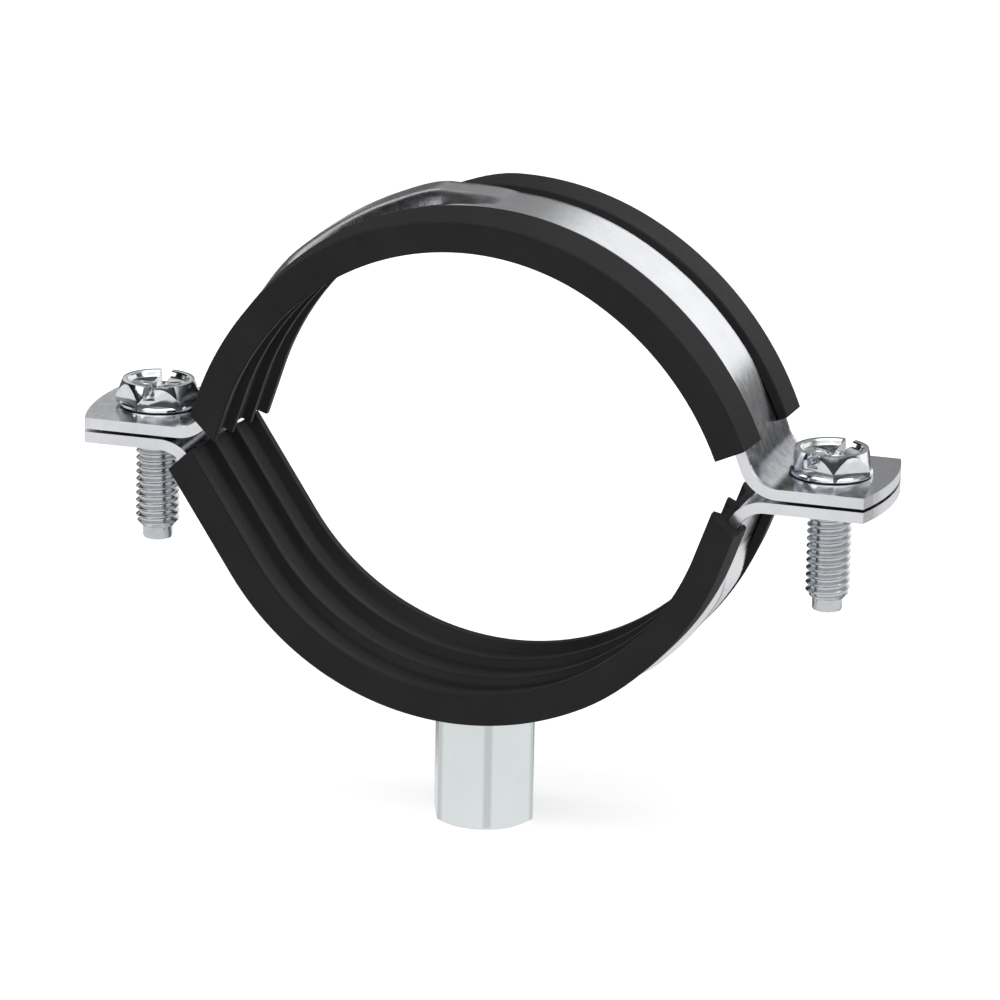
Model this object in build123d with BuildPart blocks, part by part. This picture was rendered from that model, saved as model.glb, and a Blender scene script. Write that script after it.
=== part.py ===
from build123d import *
import os
from math import cos, degrees, pi, radians, sin, tan

# Rubber lined pipe clamp: two half bands with rubber linings, a hexagonal threaded boss welded
# under the lower band, and two screws that draw the ears together. Millimetres.
# The origin is the centre of the boss's lower face, +Z is up and the pipe runs along Y.
# Heights written as a level are counted from the centre of the half they belong to.

# Steel strip of both bands
STRIP_WIDTH = 20.0
STRIP_THICKNESS = 1.5
BAND_RADIUS = 36.1           # inner face of the round part of each band
BEND_RADIUS = 4.0            # inside of the bend between a flank and its ear

# Each quarter of the bands, in degrees up from X: where its round part opens out into an arc of
# larger radius, and where that runs out in a straight flank
UPPER_RIGHT_OPENS = 60.0
UPPER_RIGHT_RADIUS = 43.0
UPPER_RIGHT_FLANK = 20.0
UPPER_LEFT_OPENS = 45.0
UPPER_LEFT_RADIUS = 39.6
UPPER_LEFT_FLANK = 18.0
LOWER_RIGHT_FLANK = 20.0
LOWER_LEFT_FLANK = 33.0

# Stiffening bead and raised marking pad, both pressed outwards in the upper band
BEAD_WIDTH = 10.4
BEAD_HEIGHT = 0.4            # also the width of its sloping sides
BEAD_RUN_OUT = 1.2           # length over which the bead dies out at the ear's bend
PAD_HEIGHT = 1.7
PAD_WIDTH = 12.0
PAD_SIDE_SLOPE = 0.9         # how far its top edges are bevelled, down and across
PAD_CENTRE_ANGLE = 103.0     # where the middle of the pad lies, from +X
PAD_HALF_LENGTH = 9.0        # from the middle of the pad to the foot of its end slope
PAD_END_SLOPE = 2.2

# Ears
SCREW_TO_BAND = 11.1         # from the band's inner face out to the screw axis
EAR_TIP = 8.5                # from the screw axis to the tip of the ear
EAR_CORNER = 7.0             # from the screw axis to the corners of the ear
CLOSED_EAR_GAP = 0.45        # between the ears with the screws done up
PIPE_EAR_GAP = 7.85          # between the ears when both halves lie on one circle
EAR_HOLE_RADIUS = 3.3        # clearance hole in the upper ears

# Rubber lining, whose section is drawn outwards from the band's inner face
LINING_WIDTH = 26.0
LINING_FLOOR = 1.0           # rubber between the band and the bottom of the grooves
RIB_HEIGHT = 1.0             # ribs and side walls above the floor
RIB_SPACING = 8.4
RIB_TOP_WIDTH = 1.2
RIB_BASE_WIDTH = 3.0
WALL_TOP_WIDTH = 1.6
WALL_BASE_WIDTH = 3.4
LIP_WIDTH = 6.7              # from the lining's side to the free edge of the lip
LIP_SIDE_TOP = 2.3           # top of the lip at the lining's side
LIP_EDGE_TOP = 2.95          # top of the lip at its free edge
STRIP_PLAY = 0.08            # between the strip and the rubber round it

# Ends of the linings: the level of the inner edge, the slant of the cut and its fall towards
# the back, in degrees
UPPER_RIGHT_END = 8.5
UPPER_RIGHT_SLANT = 24.0
UPPER_LEFT_END = 2.9
UPPER_LEFT_SLANT = 42.0
LOWER_RIGHT_END = 5.5
LOWER_RIGHT_SLANT = 45.0
LOWER_LEFT_END = 3.1
LOWER_LEFT_SLANT = 38.0
RIGHT_FALL = 2.0
LEFT_FALL = 6.3

# Boss
BOSS_LENGTH = 17.8
BOSS_ACROSS_FLATS = 13.0
BOSS_TURN = -9.2             # angle of one corner of the hexagon from +X
BOSS_FACE_RADIUS = 6.2       # flat ring left by the turned chamfer at the mouth
BOSS_CHAMFER_ANGLE = 30.0
BORE_RADIUS = 4.0
BORE_DEPTH = 15.0
BORE_CHAMFER = 0.6
BOSS_LIP_CLEARANCE = 0.2     # between the boss and the lips that it parts

# Screws
SCREW_RADIUS = 3.0
SCREW_LENGTH = 17.0          # from under the head to the end of the thread
SCREW_FIT = 0.06             # radial play of the screw in the lower ear
SCREW_END_CHAMFER = 0.7
PILOT_RADIUS = 2.05
PILOT_LENGTH = 1.8
PILOT_EDGE = 0.3
FLANGE_RADIUS = 5.55
FLANGE_THICKNESS = 0.8
FLANGE_EDGE = 0.3
BEARING_RADIUS = 4.6         # flat ring under the flange, outside of which it is relieved
BEARING_RELIEF = 0.2
HEAD_ACROSS_FLATS = 10.0
HEAD_HEIGHT = 3.6            # from the ear to the head's rim
HEAD_CORNER_DROP = 2.3       # how far down the chamfer reaches at a corner
HEAD_RIM_RADIUS = 4.9
HEAD_RIM_WIDTH = 0.7
HEAD_DISH_DEPTH = 0.6
HEAD_DISH_SLOPE = 0.5
SLOT_WIDTH = 1.7
SLOT_DEPTH = 1.8
CROSS_LENGTH = 5.4
CROSS_WIDTH = 1.2
CROSS_DEPTH = 2.6
RIGHT_SLOT_ANGLE = 74.0
LEFT_SLOT_ANGLE = 95.0
RIGHT_HEX_ANGLE = -13.0      # angle of one corner of the head from +X
LEFT_HEX_ANGLE = 20.0

# Places worked out from the sizes above
BAND_OUTER = BAND_RADIUS + STRIP_THICKNESS
LOWER_CENTRE = BOSS_LENGTH + BAND_OUTER
UPPER_CENTRE = LOWER_CENTRE - (PIPE_EAR_GAP - CLOSED_EAR_GAP)
EAR_LEVEL = PIPE_EAR_GAP / 2
HEAD_SEAT = UPPER_CENTRE + EAR_LEVEL + STRIP_THICKNESS
SCREW_X = BAND_RADIUS + SCREW_TO_BAND
EAR_END_X = SCREW_X + EAR_TIP
EAR_CORNER_X = SCREW_X + EAR_CORNER
BEND_CONVEX = BEND_RADIUS + STRIP_THICKNESS
RIB_TIP = -(LINING_FLOOR + RIB_HEIGHT)
HALF_LINING = LINING_WIDTH / 2
LIP_EDGE_Y = HALF_LINING - LIP_WIDTH
UPPER_RIGHT = (UPPER_RIGHT_OPENS, UPPER_RIGHT_RADIUS, UPPER_RIGHT_FLANK)
UPPER_LEFT = (UPPER_LEFT_OPENS, UPPER_LEFT_RADIUS, UPPER_LEFT_FLANK)
LOWER_RIGHT = (LOWER_RIGHT_FLANK, BAND_RADIUS, LOWER_RIGHT_FLANK)
LOWER_LEFT = (LOWER_LEFT_FLANK, BAND_RADIUS, LOWER_LEFT_FLANK)
PAST_ALL = EAR_END_X + EAR_TIP
BOSS_PLANE = Plane((0, 0, 0), x_dir=(cos(radians(BOSS_TURN)), sin(radians(BOSS_TURN)), 0))


def flank_start(quarter):
    """Where the straight flank of a quarter begins on the inner face, right and up."""
    opens, radius, flank = quarter
    across = (BAND_RADIUS - radius) * cos(radians(opens)) + radius * cos(radians(flank))
    up = (BAND_RADIUS - radius) * sin(radians(opens)) + radius * sin(radians(flank))
    return across, up


def flank_length(quarter, level):
    """Length of the straight flank on the inner face down to a level."""
    flank = radians(quarter[2])
    return (flank_start(quarter)[1] - level) / cos(flank)


def flank_to_bend(quarter):
    """Length of the straight flank down to where the ear's bend begins."""
    turn = pi / 2 - radians(quarter[2])
    return flank_length(quarter, EAR_LEVEL) - BEND_CONVEX * tan(turn / 2)


def half_plane(centre):
    """The plane across the pipe through the centre of a half, seen from the front."""
    return Plane((0, 0, centre), x_dir=(1, 0, 0), z_dir=(0, -1, 0))


def arc_on(edge, radius, angle):
    """An arc that carries on from an edge, or the edge itself where there is no angle."""
    if angle == 0:
        return edge
    return JernArc(edge @ 1, edge % 1, radius, angle)


def ring_line(side, right, quarter, outward, reach):
    """One quarter from the crown to its flank, a distance outward; returns first and last edge."""
    opens, radius, flank = quarter
    turn = side * right
    crown = CenterArc((0, 0), BAND_RADIUS + outward, side * 90, turn * (opens - 90))
    swell = arc_on(crown, radius + outward, turn * (flank - opens))
    straight = Line(swell @ 1, swell @ 1 + (swell % 1) * reach)
    return crown, straight


def strip_line(side, right, quarter, outward):
    """One face of the strip from the crown to the tip of an ear; returns the ear's edge."""
    crown, straight = ring_line(side, right, quarter, outward, flank_to_bend(quarter))
    turn = side * right * (90 - quarter[2])
    bend = JernArc(straight @ 1, straight % 1, BEND_CONVEX - outward, turn)
    return Line(bend @ 1, (right * EAR_END_X, (bend @ 1).Y))


def strip_outline(side, right, quarter, play):
    """Profile of one half of a strip, grown by the play on both faces."""
    inner = strip_line(side, right, quarter, -play)
    outer = strip_line(side, right, quarter, STRIP_THICKNESS + play)
    Line(inner @ 1, outer @ 1)
    Line((0, side * (BAND_RADIUS - play)), (0, side * (BAND_OUTER + play)))


def plan_outline():
    """Plan of a band, with the ends of the ears rounded to an arc between two corners."""
    half = STRIP_WIDTH / 2
    Line((-EAR_CORNER_X, half), (EAR_CORNER_X, half))
    ThreePointArc((EAR_CORNER_X, half), (EAR_END_X, 0), (EAR_CORNER_X, -half))
    Line((EAR_CORNER_X, -half), (-EAR_CORNER_X, -half))
    ThreePointArc((-EAR_CORNER_X, -half), (-EAR_END_X, 0), (-EAR_CORNER_X, half))


def lining_outline():
    """Half of the lining's section: x runs across the band and y outwards from its inner face."""
    rib = RIB_SPACING / 2
    groove = STRIP_WIDTH / 2 + STRIP_PLAY
    Polyline(
        (0, -STRIP_PLAY),
        (0, -LINING_FLOOR),
        (rib - RIB_BASE_WIDTH / 2, -LINING_FLOOR),
        (rib - RIB_TOP_WIDTH / 2, RIB_TIP),
        (rib + RIB_TOP_WIDTH / 2, RIB_TIP),
        (rib + RIB_BASE_WIDTH / 2, -LINING_FLOOR),
        (HALF_LINING - WALL_BASE_WIDTH, -LINING_FLOOR),
        (HALF_LINING - WALL_TOP_WIDTH, RIB_TIP),
        (HALF_LINING, RIB_TIP),
        (HALF_LINING, LIP_SIDE_TOP),
        (LIP_EDGE_Y, LIP_EDGE_TOP),
        (LIP_EDGE_Y, STRIP_THICKNESS + STRIP_PLAY),
        (groove, STRIP_THICKNESS + STRIP_PLAY),
        (groove, -STRIP_PLAY),
        (0, -STRIP_PLAY),
    )


def end_cut(side, right, level, slant):
    """Outline of what is cut away past a slanted end of a lining, in the half's plane."""
    tip = Vector(right * (BAND_RADIUS + RIB_TIP), side * level)
    reach = PAST_ALL
    rise = reach * tan(radians(slant))
    Polyline(
        tip - Vector(right * reach, side * rise),
        tip + Vector(right * reach, side * rise),
        tip + Vector(right * reach, -side * reach),
        tip - Vector(right * reach, side * (reach + rise)),
        close=True,
    )


def bead_outline(right, quarter):
    """One half of the bead's profile, from inside the strip up to its raised face."""
    sunk = STRIP_THICKNESS / 2
    high = STRIP_THICKNESS + BEAD_HEIGHT
    reach = flank_to_bend(quarter)
    low_crown, low_flank = ring_line(1, right, quarter, sunk, reach + BEAD_RUN_OUT)
    high_crown, high_flank = ring_line(1, right, quarter, high, reach)
    Line(high_flank @ 1, low_flank @ 1)
    Line(low_crown @ 0, high_crown @ 0)


def pad_outline():
    """Profile of the raised pad across the crown, with sloping ends."""
    low = BAND_RADIUS + STRIP_THICKNESS / 2
    high = BAND_OUTER + PAD_HEIGHT
    foot = degrees(PAD_HALF_LENGTH / BAND_OUTER)
    edge = degrees((PAD_HALF_LENGTH - PAD_END_SLOPE) / BAND_OUTER)
    bottom = CenterArc((0, 0), low, PAD_CENTRE_ANGLE - foot, 2 * foot)
    top = CenterArc((0, 0), high, PAD_CENTRE_ANGLE - edge, 2 * edge)
    Line(bottom @ 0, top @ 0)
    Line(bottom @ 1, top @ 1)


def draw_strip(side, right_quarter, left_quarter, centre):
    """The bent strip with both ears and the rounded plan of its ends."""
    with BuildSketch(half_plane(centre)) as profile:
        with BuildLine():
            strip_outline(side, 1, right_quarter, 0)
        make_face()
        with BuildLine():
            strip_outline(side, -1, left_quarter, 0)
        make_face()
    extrude(profile.sketch, amount=STRIP_WIDTH / 2, both=True)
    with BuildSketch(Plane.XY.offset(centre)) as plan:
        with BuildLine():
            plan_outline()
        make_face()
    extrude(plan.sketch, amount=BAND_OUTER + 2 * PAD_HEIGHT, both=True, mode=Mode.INTERSECT)


def draw_ear_holes(centre, side, radius):
    """A hole through each ear."""
    with BuildSketch(Plane.XY.offset(centre + side * EAR_LEVEL)) as holes:
        with Locations((-SCREW_X, 0), (SCREW_X, 0)):
            Circle(radius)
    extrude(holes.sketch, amount=side * STRIP_THICKNESS, mode=Mode.SUBTRACT)


def draw_lining(side, right_quarter, left_quarter, centre):
    """The ribbed and lipped section swept along the flanks and the round part."""
    right_opens, right_radius, right_flank = right_quarter
    left_opens, left_radius, left_flank = left_quarter
    start = flank_start(right_quarter)
    lean = radians(right_flank)
    foot = start[0] + start[1] * tan(lean)
    with BuildLine(half_plane(centre)) as path:
        first = Line((foot, 0), (start[0], side * start[1]))
        right_arc = arc_on(first, right_radius, side * (right_opens - right_flank))
        crown = arc_on(right_arc, BAND_RADIUS, side * (180 - right_opens - left_opens))
        left_arc = arc_on(crown, left_radius, side * (left_opens - left_flank))
        Line(left_arc @ 1, left_arc @ 1 + (left_arc % 1) * flank_length(left_quarter, 0))
    way = (-sin(lean), 0, side * cos(lean))
    across = (0, -side, 0)
    with BuildSketch(Plane((foot, 0, centre), x_dir=across, z_dir=way)) as section:
        with BuildLine():
            lining_outline()
        make_face()
        mirror(about=Plane.YZ)
    sweep(section.sketch, path=path.line)
    with BuildSketch(half_plane(centre)) as room:
        with BuildLine():
            strip_outline(side, 1, right_quarter, STRIP_PLAY / 2)
        make_face()
        with BuildLine():
            strip_outline(side, -1, left_quarter, STRIP_PLAY / 2)
        make_face()
    extrude(room.sketch, amount=(STRIP_WIDTH + STRIP_PLAY) / 2, both=True, mode=Mode.SUBTRACT)


def draw_end_cut(side, right, centre, level, slant, fall):
    """Cut one end of a lining to its slant, falling towards the back."""
    with BuildSketch(half_plane(centre)) as waste:
        with BuildLine():
            end_cut(side, right, level, slant)
        make_face()
    backwards = (0, -1, tan(radians(fall)))
    extrude(waste.sketch, amount=LINING_WIDTH, dir=backwards, both=True, mode=Mode.SUBTRACT)


def draw_screw(x, slot_angle, hex_angle):
    """A screw standing in its holes: flange, hexagon, dished top, slot, cross and shank."""
    rim = HEAD_SEAT + HEAD_HEIGHT
    neck = HEAD_SEAT + FLANGE_THICKNESS
    dish = HEAD_RIM_RADIUS - HEAD_RIM_WIDTH
    corner = HEAD_ACROSS_FLATS / 2 / cos(pi / 6)
    cone = HEAD_CORNER_DROP / (corner - HEAD_RIM_RADIUS)
    foot = HEAD_RIM_RADIUS + HEAD_HEIGHT / cone
    thread_end = HEAD_SEAT - SCREW_LENGTH
    screw_axis = Axis((x, 0, 0), (0, 0, 1))
    upright = Plane((x, 0, 0), x_dir=(1, 0, 0), z_dir=(0, -1, 0))
    hex_corner = (cos(radians(hex_angle)), sin(radians(hex_angle)), 0)
    with BuildSketch(Plane((x, 0, neck), x_dir=hex_corner)) as hexagon:
        RegularPolygon(corner, 6)
    extrude(hexagon.sketch, amount=HEAD_HEIGHT - FLANGE_THICKNESS)
    with BuildSketch(upright) as turned_head:
        with BuildLine():
            Polyline(
                (0, HEAD_SEAT),
                (foot, HEAD_SEAT),
                (HEAD_RIM_RADIUS, rim),
                (dish, rim),
                (dish - HEAD_DISH_SLOPE, rim - HEAD_DISH_DEPTH),
                (0, rim - HEAD_DISH_DEPTH),
                (0, HEAD_SEAT),
            )
        make_face()
    revolve(turned_head.sketch, axis=screw_axis, mode=Mode.INTERSECT)
    with BuildSketch(upright) as turned_shank:
        with BuildLine():
            Polyline(
                (0, neck),
                (FLANGE_RADIUS - FLANGE_EDGE, neck),
                (FLANGE_RADIUS, neck - FLANGE_EDGE),
                (FLANGE_RADIUS, HEAD_SEAT + BEARING_RELIEF),
                (BEARING_RADIUS, HEAD_SEAT),
                (SCREW_RADIUS, HEAD_SEAT),
                (SCREW_RADIUS, thread_end + SCREW_END_CHAMFER),
                (SCREW_RADIUS - SCREW_END_CHAMFER, thread_end),
                (PILOT_RADIUS, thread_end),
                (PILOT_RADIUS, thread_end - PILOT_LENGTH + PILOT_EDGE),
                (PILOT_RADIUS - PILOT_EDGE, thread_end - PILOT_LENGTH),
                (0, thread_end - PILOT_LENGTH),
                (0, neck),
            )
        make_face()
    revolve(turned_shank.sketch, axis=screw_axis)
    along_slot = (cos(radians(slot_angle)), sin(radians(slot_angle)), 0)
    with BuildSketch(Plane((x, 0, rim), x_dir=along_slot)) as slot:
        Rectangle(2 * FLANGE_RADIUS, SLOT_WIDTH)
    extrude(slot.sketch, amount=-SLOT_DEPTH, mode=Mode.SUBTRACT)
    with BuildSketch(Plane((x, 0, rim), x_dir=along_slot)) as cross:
        Rectangle(CROSS_LENGTH, CROSS_WIDTH)
        Rectangle(CROSS_WIDTH, CROSS_LENGTH)
    extrude(cross.sketch, amount=-CROSS_DEPTH, mode=Mode.SUBTRACT)


# Upper band
with BuildPart() as upper_band:
    with BuildSketch(half_plane(UPPER_CENTRE)):
        with BuildLine():
            pad_outline()
        make_face()
    extrude(amount=PAD_WIDTH / 2, both=True)
    pad_top = upper_band.faces().sort_by(Axis.Z)[-1]
    pad_sides = pad_top.edges().group_by(Axis.Y)
    chamfer(pad_sides[0] + pad_sides[-1], PAD_SIDE_SLOPE)
    with BuildSketch(half_plane(UPPER_CENTRE)):
        with BuildLine():
            bead_outline(1, UPPER_RIGHT)
        make_face()
        with BuildLine():
            bead_outline(-1, UPPER_LEFT)
        make_face()
    extrude(amount=BEAD_WIDTH / 2, both=True)
    draw_strip(1, UPPER_RIGHT, UPPER_LEFT, UPPER_CENTRE)
    draw_ear_holes(UPPER_CENTRE, 1, EAR_HOLE_RADIUS)

# Lower band
with BuildPart() as lower_band:
    draw_strip(-1, LOWER_RIGHT, LOWER_LEFT, LOWER_CENTRE)
    draw_ear_holes(LOWER_CENTRE, -1, SCREW_RADIUS + SCREW_FIT)

# Upper lining
with BuildPart() as upper_lining:
    draw_lining(1, UPPER_RIGHT, UPPER_LEFT, UPPER_CENTRE)
    draw_end_cut(1, 1, UPPER_CENTRE, UPPER_RIGHT_END, UPPER_RIGHT_SLANT, RIGHT_FALL)
    draw_end_cut(1, -1, UPPER_CENTRE, UPPER_LEFT_END, UPPER_LEFT_SLANT, LEFT_FALL)

# Lower lining, whose lips are parted round the boss
with BuildPart() as lower_lining:
    draw_lining(-1, LOWER_RIGHT, LOWER_LEFT, LOWER_CENTRE)
    draw_end_cut(-1, 1, LOWER_CENTRE, LOWER_RIGHT_END, LOWER_RIGHT_SLANT, RIGHT_FALL)
    draw_end_cut(-1, -1, LOWER_CENTRE, LOWER_LEFT_END, LOWER_LEFT_SLANT, LEFT_FALL)
    with BuildSketch(BOSS_PLANE):
        RegularPolygon(BOSS_ACROSS_FLATS / 2 / cos(pi / 6) + BOSS_LIP_CLEARANCE, 6)
    extrude(amount=BOSS_LENGTH + STRIP_THICKNESS, mode=Mode.SUBTRACT)

# Boss, whose upper end is shaped to the band
with BuildPart() as boss:
    with BuildSketch(BOSS_PLANE):
        RegularPolygon(BOSS_ACROSS_FLATS / 2 / cos(pi / 6), 6)
    extrude(amount=BOSS_LENGTH + STRIP_THICKNESS)
    with BuildSketch(half_plane(LOWER_CENTRE)):
        Circle(BAND_OUTER)
    extrude(amount=BOSS_ACROSS_FLATS, both=True, mode=Mode.SUBTRACT)
    cone_rise = BOSS_LENGTH * tan(radians(BOSS_CHAMFER_ANGLE))
    with BuildSketch(Plane.XZ):
        with BuildLine():
            Polyline(
                (0, 0),
                (BOSS_FACE_RADIUS, 0),
                (BOSS_FACE_RADIUS + BOSS_LENGTH, cone_rise),
                (BOSS_FACE_RADIUS + BOSS_LENGTH, 2 * BOSS_LENGTH),
                (0, 2 * BOSS_LENGTH),
                (0, 0),
            )
        make_face()
    revolve(axis=Axis.Z, mode=Mode.INTERSECT)
    with BuildSketch(Plane.XY):
        Circle(BORE_RADIUS)
    extrude(amount=BORE_DEPTH, mode=Mode.SUBTRACT)
    mouth = boss.edges().filter_by(GeomType.CIRCLE).group_by(Axis.Z)[0].sort_by(SortBy.RADIUS)[0]
    chamfer(mouth, BORE_CHAMFER)

# Screws
with BuildPart() as left_screw:
    draw_screw(-SCREW_X, LEFT_SLOT_ANGLE, LEFT_HEX_ANGLE)

with BuildPart() as right_screw:
    draw_screw(SCREW_X, RIGHT_SLOT_ANGLE, RIGHT_HEX_ANGLE)

os.makedirs("parts", exist_ok=True)

upper_band.part.label = "upper_band"
lower_band.part.label = "lower_band"
upper_lining.part.label = "upper_lining"
lower_lining.part.label = "lower_lining"
boss.part.label = "boss"
left_screw.part.label = "left_screw"
right_screw.part.label = "right_screw"

export_step(upper_band.part, "parts/upper_band.step")
export_step(lower_band.part, "parts/lower_band.step")
export_step(upper_lining.part, "parts/upper_lining.step")
export_step(lower_lining.part, "parts/lower_lining.step")
export_step(boss.part, "parts/boss.step")
export_step(left_screw.part, "parts/left_screw.step")
export_step(right_screw.part, "parts/right_screw.step")
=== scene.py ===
"""Rubber lined pipe clamp, dressed for its photograph.

The two bent bands, their ribbed linings, the hexagonal boss and the two slotted flange screws are
modelled over the fixed frame. Lengths are millimetres on the bench and metres once finished.
"""

import logging
import math
from dataclasses import dataclass
from enum import Enum
from typing import Any, Callable, Iterable, Sequence

import bmesh
import bpy
from mathutils import Matrix, Vector


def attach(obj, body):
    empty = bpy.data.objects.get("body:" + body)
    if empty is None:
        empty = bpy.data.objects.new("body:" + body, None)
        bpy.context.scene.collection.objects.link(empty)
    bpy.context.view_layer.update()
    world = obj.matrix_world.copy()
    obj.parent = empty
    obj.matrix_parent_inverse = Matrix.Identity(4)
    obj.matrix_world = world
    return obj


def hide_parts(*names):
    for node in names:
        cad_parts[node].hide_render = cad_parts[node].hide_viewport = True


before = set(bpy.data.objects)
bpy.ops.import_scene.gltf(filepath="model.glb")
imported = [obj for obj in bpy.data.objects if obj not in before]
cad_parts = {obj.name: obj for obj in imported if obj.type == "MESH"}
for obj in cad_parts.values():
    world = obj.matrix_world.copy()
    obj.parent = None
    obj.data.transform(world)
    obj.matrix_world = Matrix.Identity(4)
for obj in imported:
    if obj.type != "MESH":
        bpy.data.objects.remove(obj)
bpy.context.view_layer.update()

LOG = logging.getLogger("pipe_clamp")
METRES = 0.001
# Points of one end that are nearer than this across the band are moved as one column.
SAME_COLUMN = 2e-3
# Moves shorter than this are left out.
NO_WAY = 1e-5
TO_RIGHT = Vector((1.0, 0.0, 0.0))
ACROSS = Vector((0.0, 1.0, 0.0))

Pair = tuple[float, float]
Triple = tuple[float, float, float]
Place = Callable[[Vector], bool]
Act = Callable[["Bench"], None]
Stops = dict[float, Act]


class Side(Enum):
    """Which half of the clamp a piece belongs to, as the sign of its outward direction."""

    UPPER = 1
    LOWER = -1


class Cut(Enum):
    """What a tool solid does to the piece on the bench."""

    AWAY = "DIFFERENCE"
    COMMON = "INTERSECT"


@dataclass(frozen=True)
class Quarter:
    """One quarter of a band, in degrees up from the joint and millimetres."""

    opens: float
    radius: float
    flank: float


@dataclass(frozen=True)
class Half:
    """The line that one half of the clamp follows, on the inner face of its band."""

    side: Side
    centre: float
    right: Quarter
    left: Quarter
    radius: float = 36.1
    ear_level: float = 3.925
    bend: float = 5.5

    def quarter(self, right: int) -> Quarter:
        """The quarter on the right (1) or on the left (-1)."""
        return self.right if right > 0 else self.left

    def flank_start(self, right: int) -> Pair:
        """Where a straight flank leaves its arc.

        Args:
            right: 1 for the right flank and -1 for the left one.

        Returns:
            Distance from the middle and distance from the half's centre level.
        """
        q = self.quarter(right)
        opens, flank = math.radians(q.opens), math.radians(q.flank)
        gap = self.radius - q.radius
        across = gap * math.cos(opens) + q.radius * math.cos(flank)
        up = gap * math.sin(opens) + q.radius * math.sin(flank)
        return across, up

    def flank_length(self, right: int, level: float) -> float:
        """Length of a straight flank down to a level."""
        return (self.flank_start(right)[1] - level) / math.cos(math.radians(self.quarter(right).flank))

    def to_bend(self, right: int) -> float:
        """Length of a straight flank down to the start of the ear's bend."""
        turn = math.pi / 2 - math.radians(self.quarter(right).flank)
        return self.flank_length(right, self.ear_level) - self.bend * math.tan(turn / 2)

    def bend_end(self, right: int) -> float:
        """Distance from the middle at which the bend has become the flat ear.

        Args:
            right: 1 for the right ear and -1 for the left one.

        Returns:
            The distance in millimetres.
        """
        across, up = self.flank_start(right)
        flank = math.radians(self.quarter(right).flank)
        turn = math.pi / 2 - flank
        return across + (up - self.ear_level) * math.tan(flank) + self.bend * math.tan(turn / 2)


# Radii of the holes in the ears: the screws pass the upper ones and are held by the lower ones.
CLEARANCE_HOLE = 3.3
TAPPED_HOLE = 3.06
# Height of the pad's crest over the strip, at angles from +X in degrees.
PAD_LINE = (
    (86.0, 0.9),
    (90.0, 1.35),
    (94.0, 1.65),
    (98.0, 1.95),
    (103.0, 2.5),
    (112.0, 2.3),
    (126.0, 2.2),
    (135.0, 2.3),
    (145.0, 1.8),
    (156.0, 0.9),
)
UPPER = Half(Side.UPPER, 48.0, Quarter(60.0, 43.0, 20.0), Quarter(45.0, 39.6, 18.0))
LOWER = Half(Side.LOWER, 55.4, Quarter(20.0, 36.1, 20.0), Quarter(33.0, 36.1, 33.0))


def leave_edit() -> None:
    """Go back to object mode with nothing selected."""
    active = bpy.context.view_layer.objects.active
    if active is not None and active.mode == "EDIT":
        bpy.ops.object.mode_set(mode="OBJECT")
    bpy.ops.object.select_all(action="DESELECT")


def extrude(way: Sequence[float]) -> None:
    """Extrude what is selected along a way."""
    bpy.ops.mesh.extrude_region_move(TRANSFORM_OT_translate={"value": way})


def anywhere(co: Vector) -> bool:
    """Rule that every point meets."""
    return True


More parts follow.
